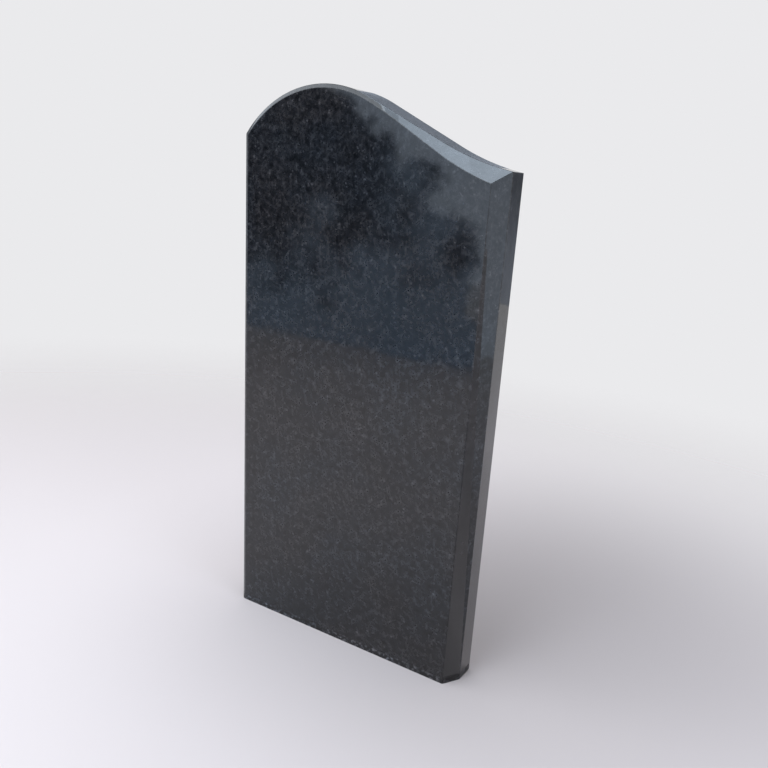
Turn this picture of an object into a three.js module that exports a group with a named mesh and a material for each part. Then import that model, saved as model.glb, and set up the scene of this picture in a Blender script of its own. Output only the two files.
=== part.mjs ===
// A granite headstone: one upright slab with a wave top. Millimetres, +Z up.
// The face looks toward -Y, and the origin is the centre of the underside.
// The face is edged by a thin arris up the left side and over the crest. Down the
// right slope the arris opens into a broad bevel, which turns the right shoulder in a
// mitre and runs down the right side at full size.
import * as THREE from 'three';

// Slab
const WIDTH = 500;
const HEIGHT = 1000;
const THICKNESS = 70;

// Wave top, with places measured from the left side and up from the underside
const LEFT_SHOULDER_HEIGHT = 918;
const RIGHT_SHOULDER_HEIGHT = 886;
const CREST_PLACE = 168;
const CREST_END = 257; // where the round crest passes into a straight slope
const HOLLOW_START = 390; // where the straight slope passes into the hollow

// Arris and bevel: width across the face, depth back from the face
const ARRIS_WIDTH = 6;
const ARRIS_DEPTH = 2;
const TOP_BEVEL_WIDTH = 24;
const SIDE_BEVEL_WIDTH = 19.5;
const BEVEL_DEPTH = 31;
const BEVEL_START = 260; // where the arris begins to open, from the left side
const GENTLE_RUN = 60; // it opens gently over this run, and steadily after it

// Fineness of the wave
const CREST_STEPS = 44;
const SLOPE_STEPS = 8;
const HOLLOW_STEPS = 18;

// The crest is an arc with its top at the crest, passing through the left shoulder.
const leftDrop = HEIGHT - LEFT_SHOULDER_HEIGHT;
const crestRadius = (CREST_PLACE ** 2 + leftDrop ** 2) / (2 * leftDrop);
const steepAngle = Math.asin((CREST_END - CREST_PLACE) / crestRadius);
const crestEndHeight = HEIGHT - crestRadius * (1 - Math.cos(steepAngle));

// The straight slope leaves the crest at its steepest and runs down to the hollow.
const hollowStartHeight = crestEndHeight - (HOLLOW_START - CREST_END) * Math.tan(steepAngle);

// The hollow is an arc that leaves the slope without a kink and ends at the right shoulder.
const hollowRun = WIDTH - HOLLOW_START;
const hollowDrop = hollowStartHeight - RIGHT_SHOULDER_HEIGHT;
const shoulderAngle = 2 * Math.atan2(hollowDrop, hollowRun) - steepAngle;
const hollowRadius = hollowRun / (Math.sin(steepAngle) - Math.sin(shoulderAngle));

// Angle of the wave below level at a place x, falling to the right where it is positive
function slopeAngle(x) {
  if (x <= CREST_END) return Math.asin((x - CREST_PLACE) / crestRadius);
  if (x <= HOLLOW_START) return steepAngle;
  return Math.asin(Math.sin(steepAngle) - (x - HOLLOW_START) / hollowRadius);
}

function waveHeight(x) {
  const angle = slopeAngle(x);
  if (x <= CREST_END) return HEIGHT - crestRadius * (1 - Math.cos(angle));
  if (x <= HOLLOW_START) return crestEndHeight - (x - CREST_END) * Math.tan(steepAngle);
  return hollowStartHeight - hollowRadius * (Math.cos(angle) - Math.cos(steepAngle));
}

// How far the bevel has opened at a place x, from 0 to 1
function bevelShare(x) {
  const run = Math.max(x - BEVEL_START, 0);
  const gentle = Math.min(run, GENTLE_RUN);
  const opened = gentle ** 2 / (2 * GENTLE_RUN) + run - gentle;
  return opened / (WIDTH - BEVEL_START - GENTLE_RUN / 2);
}

// Width and depth of the edge cut over the wave: the arris, then the opening bevel
function edgeCut(x) {
  const share = bevelShare(x);
  return {
    width: THREE.MathUtils.lerp(ARRIS_WIDTH, TOP_BEVEL_WIDTH, share),
    depth: THREE.MathUtils.lerp(ARRIS_DEPTH, BEVEL_DEPTH, share),
  };
}

// Top edge of the face, below the wave by the cut's width measured square to the slope
function faceHeight(x) {
  return waveHeight(x) - edgeCut(x).width / Math.cos(slopeAngle(x));
}

// Places along the wave where the slab is measured, between its two shoulders
function wavePlaces() {
  const faceLeft = ARRIS_WIDTH;
  const faceRight = WIDTH - SIDE_BEVEL_WIDTH;
  const places = [BEVEL_START, faceRight];
  const leftAngle = slopeAngle(0);
  for (let i = 1; i <= CREST_STEPS; i += 1) {
    const angle = THREE.MathUtils.lerp(leftAngle, steepAngle, i / CREST_STEPS);
    places.push(CREST_PLACE + crestRadius * Math.sin(angle));
  }
  for (let i = 1; i <= SLOPE_STEPS; i += 1) {
    places.push(THREE.MathUtils.lerp(CREST_END, HOLLOW_START, i / SLOPE_STEPS));
  }
  for (let i = 1; i < HOLLOW_STEPS; i += 1) {
    places.push(THREE.MathUtils.lerp(HOLLOW_START, WIDTH, i / HOLLOW_STEPS));
  }
  const inside = places.filter((x) => x > faceLeft && x <= faceRight);
  return inside.sort((a, b) => a - b);
}

// One station of the outline: the slab's own edge, and the edge of the face beside it
function station(x, z, depth, faceX, faceZ) {
  return {
    back: [x, THICKNESS, z],
    edge: [x, depth, z],
    face: [faceX, 0, faceZ],
  };
}

function outline() {
  const faceLeft = ARRIS_WIDTH;
  const faceRight = WIDTH - SIDE_BEVEL_WIDTH;
  const stations = [
    station(0, 0, ARRIS_DEPTH, faceLeft, 0),
    station(0, waveHeight(0), ARRIS_DEPTH, faceLeft, faceHeight(faceLeft)),
  ];
  for (const x of wavePlaces()) {
    stations.push(station(x, waveHeight(x), edgeCut(x).depth, x, faceHeight(x)));
  }
  stations.push(station(WIDTH, waveHeight(WIDTH), BEVEL_DEPTH, faceRight, faceHeight(faceRight)));
  stations.push(station(WIDTH, 0, BEVEL_DEPTH, faceRight, 0));
  return stations;
}

// Closed slab: a band from the back to the edge, a band from the edge to the face, two flats
function slabGeometry() {
  const stations = outline();
  const positions = [];
  const triangle = (a, b, c) => {
    if (a !== b && b !== c && a !== c) positions.push(...a, ...b, ...c);
  };
  const same = (a, b) => a.every((value, axis) => value === b[axis]);

  stations.forEach((here, i) => {
    const next = stations[(i + 1) % stations.length];
    triangle(here.back, next.edge, next.back);
    triangle(here.back, here.edge, next.edge);
    triangle(here.edge, next.face, next.edge);
    if (!same(here.face, next.face)) triangle(here.edge, here.face, next.face);
  });

  const flat = (side, facesForward) => {
    const ring = stations.map((each) => each[side]).filter((point, i, all) =>
      !same(point, all[(i + 1) % all.length]));
    const contour = ring.map(([x, , z]) => new THREE.Vector2(x, z));
    for (const [a, b, c] of THREE.ShapeUtils.triangulateShape(contour, [])) {
      if (facesForward) triangle(ring[a], ring[b], ring[c]);
      else triangle(ring[a], ring[c], ring[b]);
    }
  };
  flat('face', true);
  flat('back', false);

  const geometry = new THREE.BufferGeometry();
  geometry.setAttribute('position', new THREE.Float32BufferAttribute(positions, 3));
  geometry.translate(-WIDTH / 2, -THICKNESS / 2, 0);
  geometry.computeVertexNormals();
  return geometry;
}

function polishedGranite() {
  return new THREE.MeshStandardMaterial({ color: 0x353a40, roughness: 0.25, metalness: 0 });
}

const slab = new THREE.Mesh(slabGeometry(), polishedGranite());
slab.name = 'slab';

const headstone = new THREE.Group();
headstone.add(slab);

export default headstone;
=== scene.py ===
# %% [markdown]
# # A polished granite headstone
#
# The headstone is one slab of dark, fine grained granite, a metre high, with a wave cut
# into its top. Its face carries no lettering. A thin arris runs up the left side and over
# the crest, then opens into a broad bevel that turns the right shoulder and runs down the
# right side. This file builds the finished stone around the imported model, which gives it
# its size and its place.

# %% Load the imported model
import math

import bmesh
import bpy
from mathutils import Matrix, Vector


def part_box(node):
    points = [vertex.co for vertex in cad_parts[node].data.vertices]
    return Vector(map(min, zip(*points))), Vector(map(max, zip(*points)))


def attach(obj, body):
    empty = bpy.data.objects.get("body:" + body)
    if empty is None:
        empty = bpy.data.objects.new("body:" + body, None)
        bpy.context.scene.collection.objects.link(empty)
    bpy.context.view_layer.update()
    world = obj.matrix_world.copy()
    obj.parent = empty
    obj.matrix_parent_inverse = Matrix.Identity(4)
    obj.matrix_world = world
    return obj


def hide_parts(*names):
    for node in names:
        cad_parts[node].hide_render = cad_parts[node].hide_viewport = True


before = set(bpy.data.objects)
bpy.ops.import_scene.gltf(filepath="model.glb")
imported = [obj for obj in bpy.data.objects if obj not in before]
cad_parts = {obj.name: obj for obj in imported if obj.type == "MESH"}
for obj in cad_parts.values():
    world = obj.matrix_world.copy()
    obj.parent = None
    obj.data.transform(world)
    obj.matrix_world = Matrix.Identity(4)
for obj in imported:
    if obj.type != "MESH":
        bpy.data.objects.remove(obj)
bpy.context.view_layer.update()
low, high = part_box("slab")
width, thickness, height = high - low
print(f"slab {width:.3f} m wide, {thickness:.3f} m thick, {height:.3f} m high")

# %% [markdown]
# ## The camera
#
# A camera has a place, a direction and a lens. The direction is easiest to think of as
# three turns, one after another: to the left, down, and a tilt of the frame itself. The
# stone stands a little left of the lens axis, so the lens is shifted slightly.

# %% Camera
CAMERA_PLACE = Vector((0.729, -1.081, 0.864))
TURN_LEFT = math.radians(29.0)
TURN_DOWN = math.radians(17.4)
FRAME_TILT = math.radians(4.6)
LENS_MM = 35.3
SENSOR_MM = 36.0
SHIFT_ACROSS = -0.052
SHIFT_UP = 0.043


def make_camera():
    data = bpy.data.cameras.new("camera")
    data.sensor_fit = "HORIZONTAL"
    data.sensor_width = SENSOR_MM
    data.lens = LENS_MM
    data.shift_x = SHIFT_ACROSS
    data.shift_y = SHIFT_UP
    camera = bpy.data.objects.new("camera", data)
    turn = Matrix.Rotation(TURN_LEFT, 4, "Z")
    dip = Matrix.Rotation(math.pi / 2 - TURN_DOWN, 4, "X")
    tilt = Matrix.Rotation(FRAME_TILT, 4, "Z")
    camera.matrix_world = Matrix.Translation(CAMERA_PLACE) @ turn @ dip @ tilt
    bpy.context.scene.collection.objects.link(camera)
    bpy.context.scene.camera = camera
    return camera


camera = make_camera()
print("camera at", tuple(round(v, 3) for v in camera.location), "lens", LENS_MM, "mm")

# %% [markdown]
# ## The wave
#
# A mason marks the wave with two arcs and a straight line. The crest is part of a circle
# through the left shoulder. It passes into a straight slope, and the slope into a hollow
# that ends at the right shoulder. They share one slope where they meet, so the line runs
# on without a kink. The same few measures that set out the solid are repeated here in
# metres, measured from the left side and up from the underside, so that the finished
# stone keeps the solid's outline.

# %% Set out the wave
LEFT_SHOULDER = 0.918
RIGHT_SHOULDER = 0.886
CREST_PLACE = 0.168
CREST_END = 0.257
HOLLOW_START = 0.390

left_drop = height - LEFT_SHOULDER
crest_radius = (CREST_PLACE**2 + left_drop**2) / (2 * left_drop)
steep_angle = math.asin((CREST_END - CREST_PLACE) / crest_radius)
crest_end_height = height - crest_radius * (1 - math.cos(steep_angle))
hollow_start_height = crest_end_height - (HOLLOW_START - CREST_END) * math.tan(steep_angle)
hollow_run = width - HOLLOW_START
chord_angle = math.atan2(hollow_start_height - RIGHT_SHOULDER, hollow_run)
shoulder_angle = 2 * chord_angle - steep_angle
hollow_radius = hollow_run / (math.sin(steep_angle) - math.sin(shoulder_angle))
print(f"crest radius {crest_radius:.3f} m, hollow radius {hollow_radius:.3f} m")


# %% Height and slope of the wave
def slope_angle(x):
    """How steeply the wave falls to the right at x."""
    if x <= CREST_END:
        return math.asin((x - CREST_PLACE) / crest_radius)
    if x <= HOLLOW_START:
        return steep_angle
    return math.asin(math.sin(steep_angle) - (x - HOLLOW_START) / hollow_radius)


def wave_height(x):
    """Height of the wave above the underside at x."""
    angle = slope_angle(x)
    if x <= CREST_END:
        return height - crest_radius * (1 - math.cos(angle))
    if x <= HOLLOW_START:
        return crest_end_height - (x - CREST_END) * math.tan(steep_angle)
    return hollow_start_height - hollow_radius * (math.cos(angle) - math.cos(steep_angle))


print(f"shoulders at {wave_height(0.0):.3f} m and {wave_height(width):.3f} m")

# %% [markdown]
# ## The arris and the bevel
#
# The edge of the face is cut back all along the wave. Up to a place on the right slope the
# cut is a thin arris. From there it opens, gently at first and then steadily, and at the
# right shoulder it has its full width and meets the bevel down the side in a mitre.

# %% Set out the cut along the edge
ARRIS_WIDTH = 0.006
ARRIS_DEPTH = 0.002
TOP_BEVEL_WIDTH = 0.024
SIDE_BEVEL_WIDTH = 0.0195
BEVEL_DEPTH = 0.031
BEVEL_START = 0.260
GENTLE_RUN = 0.060


def bevel_share(x):
    """How far the bevel has opened at x, from 0 to 1."""
    run = max(x - BEVEL_START, 0.0)
    gentle = min(run, GENTLE_RUN)
    opened = gentle**2 / (2 * GENTLE_RUN) + run - gentle
    return opened / (width - BEVEL_START - GENTLE_RUN / 2)


def edge_cut(x):
    """Width across the face and depth back from it, of the cut at x."""
    share = bevel_share(x)
    across = ARRIS_WIDTH + (TOP_BEVEL_WIDTH - ARRIS_WIDTH) * share
    back = ARRIS_DEPTH + (BEVEL_DEPTH - ARRIS_DEPTH) * share
    return across, back


def face_height(x):
    """Height of the face's top edge at x, where the cut's width is square to the slope."""
    across, _ = edge_cut(x)
    return wave_height(x) - across / math.cos(slope_angle(x))


widest, deepest = edge_cut(width)
print(f"cut at the right shoulder {widest:.3f} m across and {deepest:.3f} m back")

# %% [markdown]
# ## The slab
#
# The slab could be an extruded outline cut by tools, or three rings of points joined by
# bands. The rings are used: one round the back, one round the slab's own edge and one
# round the face. Every band then follows the wave exactly, and no cut leaves slivers.

# %% Places along the wave
CREST_STEPS = 120
SLOPE_STEPS = 30
HOLLOW_STEPS = 44
CLOSEST = 0.0008
FACE_LEFT = ARRIS_WIDTH
FACE_RIGHT = width - SIDE_BEVEL_WIDTH


def wave_places():
    """Places along the wave, none so close to the next that a facet would be a sliver."""
    first = slope_angle(0.0)
    places = [BEVEL_START, FACE_RIGHT]
    for i in range(1, CREST_STEPS + 1):
        angle = first + (steep_angle - first) * i / CREST_STEPS
        places.append(CREST_PLACE + crest_radius * math.sin(angle))
    for i in range(1, SLOPE_STEPS + 1):
        places.append(CREST_END + (HOLLOW_START - CREST_END) * i / SLOPE_STEPS)
    for i in range(1, HOLLOW_STEPS):
        places.append(HOLLOW_START + hollow_run * i / HOLLOW_STEPS)
    kept = []
    for x in sorted(places):
        clear_of_last = not kept or x - kept[-1] > CLOSEST
        if clear_of_last and FACE_LEFT + CLOSEST < x <= FACE_RIGHT:
            kept.append(x)
    kept[-1] = FACE_RIGHT
    return kept


print(len(wave_places()), "places along the wave")


# %% Rings of the slab
def stations():
    """Back, edge and face points for each place round the outline, in the slab's frame."""

    def station(x, z, depth, face_x, face_z):
        return (x, thickness, z), (x, depth, z), (face_x, 0.0, face_z)

    right = wave_height(width)
    yield station(0.0, 0.0, ARRIS_DEPTH, FACE_LEFT, 0.0)
    yield station(0.0, wave_height(0.0), ARRIS_DEPTH, FACE_LEFT, face_height(FACE_LEFT))
    for x in wave_places():
        yield station(x, wave_height(x), edge_cut(x)[1], x, face_height(x))
    yield station(width, right, BEVEL_DEPTH, FACE_RIGHT, face_height(FACE_RIGHT))
    yield station(width, 0.0, BEVEL_DEPTH, FACE_RIGHT, 0.0)


rings = list(stations())
print(len(rings), "stations round the outline")

# %% [markdown]
# ## Closing the slab
#
# Each face of the mesh also remembers what kind of surface it is, because a real stone is
# polished on the face, the bevel, the top and the sides, honed on the back, and left as
# the saw cut it underneath.

# %% Join the rings
POLISHED, HONED, SAWN, EASED = range(4)


def join_rings():
    mesh = bmesh.new()
    shift = Vector((low.x, low.y, low.z))
    points = {}

    def point(place):
        key = tuple(round(v, 7) for v in place)
        if key not in points:
            points[key] = mesh.verts.new(Vector(place) + shift)
        return points[key]

    def skin(places, kind):
        corners = []
        for place in places:
            corner = point(place)
            if corner not in corners:
                corners.append(corner)
        if len(corners) > 2:
            mesh.faces.new(corners).material_index = kind

    for here, following in zip(rings, rings[1:]):
        skin((here[0], here[1], following[1], following[0]), POLISHED)
        skin((here[1], here[2], following[1]), POLISHED)
        skin((following[1], here[2], following[2]), POLISHED)
    skin([ring[2] for ring in rings], POLISHED)
    skin([ring[0] for ring in reversed(rings)], HONED)
    first, last = rings[0], rings[-1]
    skin((*first, *reversed(last)), SAWN)
    bmesh.ops.recalc_face_normals(mesh, faces=mesh.faces)
    return mesh


slab_mesh = join_rings()
print(len(slab_mesh.faces), "faces before the edges are eased")

# %% [markdown]
# ## Easing the edges
#
# Nobody leaves a knife edge on polished stone: every arris is rubbed with a pad to about a
# millimetre. Those narrow rounds catch the light and draw the outline of each facet. They
# are cut with a bevel along every edge that turns sharply, and left out along the wave
# itself, where the bands turn by a degree or so. The edges of the underside stay as the
# saw left them.

# %% Ease every sharp edge
SHARP_TURN = math.radians(12.0)
EASING = 0.0009
EASING_STEPS = 3


def at_the_foot(edge):
    """True for an edge of the underside, which stays as sawn."""
    return all(corner.co.z < low.z + EASING for corner in edge.verts)


def ease_edges(mesh):
    sharp = [
        edge for edge in mesh.edges
        if edge.calc_face_angle(0.0) > SHARP_TURN and not at_the_foot(edge)
    ]
    bmesh.ops.bevel(
        mesh, geom=sharp, offset=EASING, offset_type="OFFSET", segments=EASING_STEPS,
        profile=0.5, affect="EDGES", clamp_overlap=True, material=EASED,
    )
    return len(sharp)


print(ease_edges(slab_mesh), "sharp edges eased")


# %% Turn the mesh into the slab
LARGE_FACES_LEAD = 100


def make_slab(mesh):
    data = bpy.data.meshes.new("headstone_slab")
    mesh.to_mesh(data)
    mesh.free()
    for face in data.polygons:
        face.use_smooth = True
    slab = bpy.data.objects.new("headstone_slab", data)
    bpy.context.scene.collection.objects.link(slab)
    weighted = slab.modifiers.new("flat_faces_stay_flat", "WEIGHTED_NORMAL")
    weighted.weight = LARGE_FACES_LEAD
    weighted.keep_sharp = True
    return slab


slab = make_slab(slab_mesh)
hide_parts("slab")
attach(slab, "root")
print(len(slab.data.polygons), "faces on the finished slab")

# %% [markdown]
# ## Writing a finish as sums
#
# A finish is a set of nodes wired together. Long chains of them are hard to read, so a
# small class holds one wire and lets ordinary arithmetic be written on it. Anything that
# isn't arithmetic comes from one method that makes a node, sets it up and connects it.

# %% A wire that can be added and multiplied
class Wire:
    def __init__(self, finish, socket):
        self.finish = finish
        self.socket = socket

    def maths(self, operation, first, second):
        return self.finish.node("ShaderNodeMath", {"operation": operation}, {0: first, 1: second})

    def __add__(self, other):
        return self.maths("ADD", self, other)

    def __sub__(self, other):
        return self.maths("SUBTRACT", self, other)

    def __rsub__(self, other):
        return self.maths("SUBTRACT", other, self)

    def __mul__(self, other):
        return self.maths("MULTIPLY", self, other)

    __radd__ = __add__
    __rmul__ = __mul__


# %% A finish and the one method that makes its nodes
class Finish:
    def __init__(self, owner):
        owner.use_nodes = True
        self.owner = owner
        self.tree = owner.node_tree
        self.tree.nodes.clear()

    def node(self, kind, settings=None, inputs=None, output=0):
        made = self.tree.nodes.new(kind)
        for name, value in (settings or {}).items():
            setattr(made, name, value)
        for name, value in (inputs or {}).items():
            if isinstance(value, Wire):
                self.tree.links.new(value.socket, made.inputs[name])
            else:
                made.inputs[name].default_value = value
        return Wire(self, made.outputs[output]) if len(made.outputs) else None


# %% [markdown]
# ## Patterns measured in metres
#
# Stone is a solid pattern, so every texture is worked out from a point's own place in the
# block and runs on round the corners. Patterns are given by the size of their grains, in
# metres, and may lean: a lath shaped crystal is a grain that is longer one way.

# %% Patterns
class Pattern(Finish):
    def place(self):
        return self.node("ShaderNodeTexCoord", output="Object")

    def leaning(self, place, lean, size):
        """The place counted in grains of that size along axes turned by lean."""
        inputs = {"Vector": place, "Rotation": lean, "Scale": size}
        return self.node("ShaderNodeMapping", {"vector_type": "TEXTURE"}, inputs)

    def cloud(self, place, size=1.0, detail=2.0, roughness=0.5):
        """Soft random lightness about one half."""
        inputs = {"Vector": place, "Scale": 1.0 / size, "Detail": detail, "Roughness": roughness}
        return self.node("ShaderNodeTexNoise", inputs=inputs, output="Fac")

    def swing(self, cloud, contrast, middle=0.0):
        """The lightness of a cloud, stretched so that it swings about a middle value."""
        return cloud * contrast + (middle - 0.5 * contrast)

    def grains(self, place, size=1.0):
        """A mosaic of grains, each with one random number from 0 to 1."""
        inputs = {"Vector": place, "Scale": 1.0 / size}
        colour = self.node("ShaderNodeTexVoronoi", inputs=inputs, output="Color")
        return self.node("ShaderNodeSeparateColor", inputs={"Color": colour}, output="Red")

    def step(self, value, start, end):
        """Rises smoothly from 0 to 1 between start and end."""
        inputs = {"Value": value, "From Min": start, "From Max": end}
        return self.node("ShaderNodeMapRange", {"interpolation_type": "SMOOTHSTEP"}, inputs)

    def blend(self, share, first, second, mode="MIX"):
        settings = {"data_type": "RGBA", "blend_type": mode}
        return self.node("ShaderNodeMix", settings, {0: share, 6: first, 7: second}, 2)

    def shaded(self, colour, shade):
        """The colour made darker or lighter by a number about one."""
        inputs = {"Red": shade, "Green": shade, "Blue": shade}
        return self.blend(1.0, colour, self.node("ShaderNodeCombineColor", inputs=inputs), "MULTIPLY")

    def bump(self, height, depth, strength):
        inputs = {"Height": height, "Distance": depth, "Strength": strength}
        return self.node("ShaderNodeBump", inputs=inputs, output="Normal")

    def surface(self, inputs):
        shader = self.node("ShaderNodeBsdfPrincipled", inputs=inputs)
        self.node("ShaderNodeOutputMaterial", inputs={"Surface": shader})
        return self.owner


# %% [markdown]
# ## The block of stone
#
# This granite is nearly black, with a blue cast. Under the polish it is a felt of thin
# grey feldspar laths, up to about a centimetre long, lying every way in a darker ground,
# with a few paler flecks between them. Faint pale threads run through the block, falling
# gently to the right, and the whole varies a little from one hand's breadth to the next.

# %% Laths and threads
LATH_SIZE = (0.0150, 0.0042, 0.0042)
LATH_LEANS = (18.0, 78.0, 139.0)
LATH_TIP = 0.35
LATH_TWIST = 0.2
LATH_SHOWS = (0.46, 0.76)
THREAD_SIZE = (0.075, 0.005, 0.0023)
THREAD_LEAN = math.radians(18.0)
THREAD_SHOWS = (0.66, 0.78)


def laths(stone, place):
    """How much feldspar shows at each point, from 0 to about 1."""
    total = 0.0
    for lean in LATH_LEANS:
        turned = stone.leaning(place, (LATH_TIP, math.radians(lean), LATH_TWIST), LATH_SIZE)
        total = stone.step(stone.cloud(turned, detail=1.5), *LATH_SHOWS) + total
    return total


def threads(stone, place):
    """How much of a pale thread shows at each point, from 0 to 1."""
    turned = stone.leaning(place, (0.0, THREAD_LEAN, 0.0), THREAD_SIZE)
    return stone.step(stone.cloud(turned, detail=3.0, roughness=0.6), *THREAD_SHOWS)


print(f"{len(LATH_LEANS)} sets of laths, in grains {max(LATH_SIZE) * 1000:.0f} mm long")


# %% Colour of the block
GROUND = (0.0076, 0.0083, 0.0098, 1.0)
FELDSPAR = (0.0236, 0.0241, 0.0261, 1.0)
FLECK = (0.056, 0.057, 0.061, 1.0)
WARM_CAST = (1.10, 1.0, 0.95, 1.0)
COOL_CAST = (0.95, 1.0, 1.05, 1.0)
FLECK_SIZE = 0.0028
FLECK_SHOWS = (0.970, 0.990)
FELDSPAR_SHARE, FLECK_SHARE, THREAD_SHARE = 0.55, 0.50, 0.42
CAST_SIZE, BROAD_SIZE, MOTTLE_SIZE = 0.13, 0.09, 0.012
CAST_TURNS = (0.35, 0.65)
BROAD_CONTRAST = 0.9
MOTTLE_CONTRAST = 3.1


def stone_colour(stone, lightness=1.0):
    """Colour of the block at each point, made lighter by a number or a pattern."""
    place = stone.place()
    felt = stone.blend(laths(stone, place) * FELDSPAR_SHARE, GROUND, FELDSPAR)
    pale = stone.step(stone.grains(place, FLECK_SIZE), *FLECK_SHOWS) * FLECK_SHARE
    flecked = stone.blend(pale, felt, FLECK)
    threaded = stone.blend(threads(stone, place) * THREAD_SHARE, flecked, FLECK)
    warmth = stone.step(stone.cloud(place, CAST_SIZE), *CAST_TURNS)
    cast = stone.blend(warmth, COOL_CAST, WARM_CAST)
    cast_colour = stone.blend(1.0, threaded, cast, "MULTIPLY")
    broad = stone.swing(stone.cloud(place, BROAD_SIZE, detail=4.0), BROAD_CONTRAST, 1.0)
    mottled = stone.swing(stone.cloud(place, MOTTLE_SIZE, detail=2.0), MOTTLE_CONTRAST, 1.0)
    return stone.shaded(cast_colour, broad * mottled * lightness)


print(f"flecks of {FLECK_SIZE * 1000:.1f} mm, mottling of {MOTTLE_SIZE * 1000:.0f} mm")


# %% [markdown]
# ## Polished, honed, sawn and eased
#
# One block gives four finishes, and each could have a colour of its own. They share the
# block's colour here, made lighter where the surface is rough, as the same stone looks
# paler when it isn't polished. Polished stone is nearly a mirror, with the faintest ripple
# from the polishing heads and duller marks where hands and rain have been. Its polish
# stops short of the underside, where the last centimetre or so is mottled. The back is
# honed to a soft sheen, the underside keeps the marks of the saw, and the eased edges are
# a little duller and paler than the faces beside them.

# %% A new finish for the slab
STONE_IOR = 1.52


def new_stone(name):
    return Pattern(bpy.data.materials.new(name))


def finish_slab(material):
    """Gives the slab its next finish, in the order in which the faces count them."""
    slab.data.materials.append(material)
    print(material.name, "made of", len(material.node_tree.nodes), "nodes")


# %% Polished faces
SMEAR_LEAN = (0.0, 0.2, 0.0)
SMEAR_SIZE = (0.06, 0.06, 0.16)
PIT_SIZE = 0.0008
PIT_SHOWS = (0.66, 0.76)
RIPPLE_SIZE = 0.05
RIPPLE_DEPTH = 0.0006
POLISH, SMEAR_DULLNESS, PIT_DULLNESS, FOOT_DULLNESS = 0.035, 0.05, 0.08, 0.40
FOOT_BAND = 0.016
PATCH_SIZE = 0.007
PATCH_SHOWS = (0.48, 0.60)
PATCH_LIGHT = 5.0
GROUND_BETWEEN = 0.95


def polished_granite():
    stone = new_stone("polished_granite")
    place = stone.place()
    smears = stone.cloud(stone.leaning(place, SMEAR_LEAN, SMEAR_SIZE), detail=4.0)
    pits = stone.cloud(place, PIT_SIZE, detail=1.0)
    ripple = stone.cloud(place, RIPPLE_SIZE, detail=1.0)
    up = stone.node("ShaderNodeSeparateXYZ", inputs={"Vector": place}, output="Z")
    mottle = stone.cloud(place, PATCH_SIZE, detail=3.0)
    foot = 1.0 - stone.step(up, 0.5 * FOOT_BAND, FOOT_BAND)
    patches = stone.step(mottle, *PATCH_SHOWS) * PATCH_LIGHT - GROUND_BETWEEN
    patchy = foot * patches + 1.0
    dull = stone.step(pits, *PIT_SHOWS) * PIT_DULLNESS + foot * FOOT_DULLNESS
    return stone.surface({
        "Base Color": stone_colour(stone, patchy),
        "Roughness": smears * SMEAR_DULLNESS + dull + POLISH,
        "IOR": STONE_IOR,
        "Normal": stone.bump(ripple + pits * 0.006, RIPPLE_DEPTH, 0.2),
    })


finish_slab(polished_granite())

# %% Honed back
HONED_LIGHT = 3.6
SCUFF_LEAN = (0.0, 0.4, 0.0)
SCUFF_SIZE = (0.16, 0.05, 0.006)
HONED_PIT_SIZE = 0.0014


def honed_granite():
    stone = new_stone("honed_granite")
    place = stone.place()
    scuffs = stone.cloud(stone.leaning(place, SCUFF_LEAN, SCUFF_SIZE), detail=4.0)
    pits = stone.cloud(place, HONED_PIT_SIZE, detail=3.0)
    return stone.surface({
        "Base Color": stone_colour(stone, HONED_LIGHT),
        "Roughness": scuffs * 0.16 + pits * 0.12 + 0.38,
        "IOR": STONE_IOR,
        "Normal": stone.bump(pits + scuffs, 0.0003, 0.4),
    })


finish_slab(honed_granite())

# %% Sawn underside
SAWN_LIGHT = 6.0
SAW_LEAN = (0.0, 0.0, 0.25)
SAW_MARK_SIZE = (0.004, 0.30, 0.30)
SAWN_PIT_SIZE = 0.0016


def sawn_granite():
    stone = new_stone("sawn_granite")
    place = stone.place()
    marks = stone.cloud(stone.leaning(place, SAW_LEAN, SAW_MARK_SIZE), detail=2.0)
    pits = stone.cloud(place, SAWN_PIT_SIZE, detail=4.0)
    return stone.surface({
        "Base Color": stone_colour(stone, SAWN_LIGHT),
        "Roughness": pits * 0.2 + 0.66,
        "IOR": STONE_IOR,
        "Normal": stone.bump(marks + pits, 0.0005, 0.8),
    })


finish_slab(sawn_granite())

# %% Eased edges
EASED_LIGHT = 1.5
RUB_SIZE = 0.004


def eased_granite():
    stone = new_stone("eased_granite")
    rubs = stone.cloud(stone.place(), RUB_SIZE, detail=3.0)
    return stone.surface({
        "Base Color": stone_colour(stone, EASED_LIGHT),
        "Roughness": rubs * 0.2 + 0.14,
        "IOR": STONE_IOR,
        "Normal": stone.bump(rubs, 0.0003, 0.4),
    })


finish_slab(eased_granite())

# %% [markdown]
# ## The studio
#
# Polished stone shows its surroundings more than itself, so lighting it means choosing
# what each facet mirrors. The face mirrors the pale floor below and above it a dark
# screen with a ragged, leafy edge, as a garden shows dark against the sky. The bevel
# mirrors a row of soft lights overhead, the arris one in front to the left, and the facets
# on the right a blue light and a grey screen. Lights and screens are hidden from the
# camera. Only the floor is seen, and far off it melts into the room so that no horizon
# crosses the picture.

# %% A flat panel of the studio
def flat_panel(name, corners, colour_of, alpha_of=None):
    """A flat sheet that belongs to the studio, through corners in the room's own metres."""
    data = bpy.data.meshes.new(name)
    data.from_pydata(corners, [], [range(len(corners))])
    panel = bpy.data.objects.new(name, data)
    paint = Pattern(bpy.data.materials.new(name))
    inputs = {"Base Color": colour_of(paint), "Roughness": 1.0}
    if alpha_of:
        inputs["Alpha"] = alpha_of(paint)
    paint.surface(inputs)
    data.materials.append(paint.owner)
    bpy.context.scene.collection.objects.link(panel)
    return panel


def distance_from(paint, point):
    """How far each point of the paint is from one point in the room."""
    inputs = {0: paint.place(), 1: point}
    return paint.node("ShaderNodeVectorMath", {"operation": "DISTANCE"}, inputs, "Value")


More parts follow.
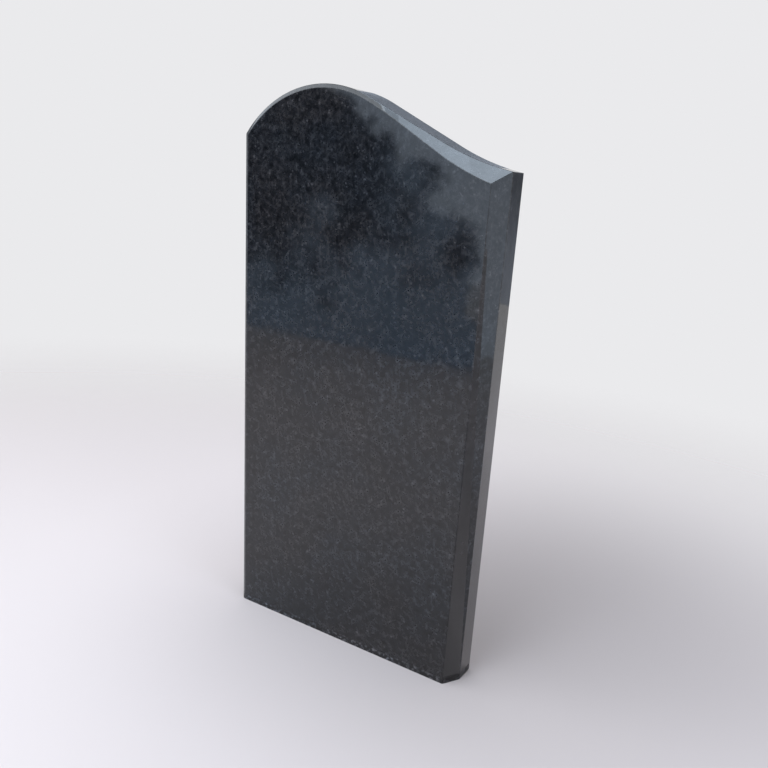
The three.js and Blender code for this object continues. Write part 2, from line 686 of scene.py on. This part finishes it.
# %% Floor
FLOOR_HALF = 5.0
FLOOR_COLOUR = (0.78, 0.682, 0.650, 1.0)
# The floor's colour darkens towards a point to the right of and behind the stone: a painted shadow,
# not one cast by the lights.
PAINTED_FLOOR_SHADOW = (0.51, 0.443, 0.422, 1.0)
PAINTED_SHADOW_CENTRE = (0.35, 0.30, 0.0)
PAINTED_SHADOW_REACH = (0.1, 1.2)
MELT_CENTRE = (0.0, -1.2, 0.0)
MELT_REACH = (1.6, 3.6)


def floor_paint(paint):
    """Pale, with a shadow painted on the side of the stone that is turned from the lights."""
    from_painted_shadow = distance_from(paint, PAINTED_SHADOW_CENTRE)
    return paint.blend(paint.step(from_painted_shadow, *PAINTED_SHADOW_REACH), PAINTED_FLOOR_SHADOW, FLOOR_COLOUR)


def melting(paint):
    """Whole under the stone and in front of it, and nothing far off, so no horizon shows."""
    from_front = distance_from(paint, MELT_CENTRE)
    return 1.0 - paint.step(from_front, *MELT_REACH)


sides = ((-1, -1), (1, -1), (1, 1), (-1, 1))
floor_corners = [(x * FLOOR_HALF, y * FLOOR_HALF, low.z) for x, y in sides]
floor = flat_panel("pale_floor", floor_corners, floor_paint, melting)
print("floor", 2 * FLOOR_HALF, "m across")

# %% [markdown]
# ## Screens that only the polish sees
#
# A light can only add brightness, so the dark parts of a reflection need something dark to
# mirror. A dark wall would show behind the stone, and upright sheets that the camera
# doesn't see are used instead. The one in front is painted with soft noise, and more noise
# cuts its edge, which looks like foliage without a single leaf being drawn.

# %% Places and shades on a screen
def across_and_up(paint):
    """Each point's place in the room, how far it is to the right, and how high."""
    place = paint.place()
    across = paint.node("ShaderNodeSeparateXYZ", inputs={"Vector": place}, output="X")
    up = paint.node("ShaderNodeSeparateXYZ", inputs={"Vector": place}, output="Z")
    return place, across, up


def height_fade(foot, top, foot_colour, top_colour):
    """Paint that goes from one colour at the foot to another at the top."""
    def colour_of(paint):
        _, _, up = across_and_up(paint)
        return paint.blend(paint.step(up, foot, top), foot_colour, top_colour)
    return colour_of


# %% The leafy screen
DARK_BLUE = (0.046, 0.065, 0.096, 1.0)
DIM_BLUE = (0.53, 0.69, 0.88, 1.0)
LEAF_PATCHES, PATCH_CONTRAST = 0.30, 2.4
LEAF_EDGES, EDGE_CONTRAST = 0.24, 0.7
DARK_LEAN = 0.35
PALE_BELOW, DARK_ABOVE = 0.80, 1.35
EDGE_CORNER = (-0.83, 0.62)
EDGE_LEAN = math.radians(38)
EDGE_SOFTNESS = 0.02


def leafy_paint(paint):
    """Dark above and to the left, paler below and to the right, in loose patches."""
    place, across, up = across_and_up(paint)
    leaves = paint.swing(paint.cloud(place, LEAF_PATCHES, 5.0, 0.6), PATCH_CONTRAST)
    darkness = paint.step(up - across * DARK_LEAN + leaves, PALE_BELOW, DARK_ABOVE)
    return paint.blend(darkness, DIM_BLUE, DARK_BLUE)


def leafy_edge(paint):
    """Lets the room show past a ragged edge that falls to the right and then drops."""
    place, across, up = across_and_up(paint)
    over = (EDGE_CORNER[0] - across) * math.sin(EDGE_LEAN)
    below_slope = (EDGE_CORNER[1] - up) * math.cos(EDGE_LEAN) + over
    left_of_drop = EDGE_CORNER[0] - across
    smaller = {"operation": "MINIMUM"}
    inside = paint.node("ShaderNodeMath", smaller, {0: below_slope, 1: left_of_drop})
    leaves = paint.swing(paint.cloud(place, LEAF_EDGES, 5.0, 0.6), EDGE_CONTRAST)
    return paint.step(inside + leaves, -EDGE_SOFTNESS, EDGE_SOFTNESS)


# %% Stand the screens
DARK_GREY = (0.21, 0.21, 0.22, 1.0)
MID_GREY = (0.28, 0.29, 0.31, 1.0)
PALE_GREY = (0.47, 0.47, 0.49, 1.0)


def screen(name, y, outline, colour_of, alpha_of=None):
    """An upright sheet across the room, which only the polish can see."""
    panel = flat_panel(name, [(x, y, z) for x, z in outline], colour_of, alpha_of)
    panel.visible_camera = False
    print(name, "stands at", y, "m")


front_outline = [(-2.7, 0.0), (-0.6, 0.0), (-0.6, 1.6), (-2.7, 1.6)]
screen("front_screen", -2.2, front_outline, leafy_paint, leafy_edge)
right_outline = [(0.75, 0.15), (1.6, 0.15), (1.6, 1.4), (0.75, 1.4)]
fading_grey = height_fade(0.35, 0.90, PALE_GREY, DARK_GREY)
screen("right_screen", 1.8, right_outline, fading_grey)
top_outline = [(-1.35, 1.22), (-0.35, 1.22), (-0.35, 2.1), (-1.35, 2.1)]
screen("top_screen", 2.0, top_outline, lambda paint: MID_GREY)

# %% [markdown]
# ## Soft lights
#
# Small lamps would give hard shadows and sharp sparks in the polish, so flat lights are
# used, which look like plain bright panels in it. Each is set by how bright it looks and
# not by its power, so that it can change its size and still look the same in the stone.

# %% Soft lights
def soft_light(name, place, aim, size, brightness, colour):
    """A flat light that looks as bright as a wall of that brightness."""
    data = bpy.data.lights.new(name, "AREA")
    data.shape = "RECTANGLE"
    data.size, data.size_y = size
    data.energy = brightness * math.pi * size[0] * size[1]
    data.color = colour
    light = bpy.data.objects.new(name, data)
    light.location = place
    light.rotation_euler = (Vector(aim) - Vector(place)).to_track_quat("-Z", "Y").to_euler()
    light.visible_camera = False
    bpy.context.scene.collection.objects.link(light)
    print(name, f"{data.energy:.0f} W")


COOL_LIGHT = (0.84, 1.0, 1.18)
NEUTRAL_LIGHT = (0.92, 1.0, 1.08)
BLUE_LIGHT = (0.74, 1.0, 1.34)
soft_light("overhead_front", (-0.2, -1.95, 3.0), (-0.2, -1.95, 0.0), (1.1, 1.4), 3.7, COOL_LIGHT)
soft_light("overhead", (-0.15, -0.6, 3.0), (-0.15, -0.6, 0.0), (1.0, 1.3), 5.3, COOL_LIGHT)
soft_light("overhead_back", (-0.15, 0.4, 3.0), (-0.15, 0.4, 0.0), (1.0, 0.7), 4.6, COOL_LIGHT)
soft_light("front_left", (-2.2, -2.3, 2.9), (0.0, 0.0, 0.9), (4.4, 2.0), 2.9, NEUTRAL_LIGHT)
leaves_place, leaves_aim = (-1.45, -2.6, 0.86), (-1.45, 0.0, 0.86)
soft_light("behind_leaves", leaves_place, leaves_aim, (1.1, 1.0), 0.62, BLUE_LIGHT)
soft_light("right", (2.6, -0.5, 0.8), (0.2, 0.0, 0.7), (1.6, 1.5), 0.62, BLUE_LIGHT)
soft_light("right_floor", (2.3, -0.5, 1.9), (2.3, -0.5, 0.0), (1.2, 1.2), 4.0, COOL_LIGHT)


# %% [markdown]
# ## The room
#
# Where a facet sees no floor, screen or light, it sees the room. The room could be one
# plain grey, but the photograph's reflections are cool in front of the stone, and what
# stands behind it is a plain pale ground. The room is dimmer overhead, so that the lights
# there show in the bevel.

# %% Room
TURNS_PALE = (-0.4, 0.4)
TURNS_DIM = (0.22, 0.65)


def light_the_room(cool, pale, horizon, overhead):
    """Surroundings cool in front of the stone and pale behind, and dimmer overhead."""
    room = Pattern(bpy.data.worlds.new("room"))
    direction = room.node("ShaderNodeTexCoord", output="Generated")
    backwards = room.node("ShaderNodeSeparateXYZ", inputs={"Vector": direction}, output="Y")
    upwards = room.node("ShaderNodeSeparateXYZ", inputs={"Vector": direction}, output="Z")
    colour = room.blend(room.step(backwards, *TURNS_PALE), cool, pale)
    strength = room.step(upwards, *TURNS_DIM) * (overhead - horizon) + horizon
    glow = room.node("ShaderNodeBackground", inputs={"Color": colour, "Strength": strength})
    room.node("ShaderNodeOutputWorld", inputs={"Surface": glow})
    bpy.context.scene.world = room.owner


COOL_ROOM = (1.08, 1.17, 1.30, 1.0)
PALE_ROOM = (0.98, 0.98, 1.0, 1.0)
light_the_room(COOL_ROOM, PALE_ROOM, horizon=0.84, overhead=0.38)
bpy.context.scene.view_settings.view_transform = "Standard"
print("room lit, view transform", bpy.context.scene.view_settings.view_transform)
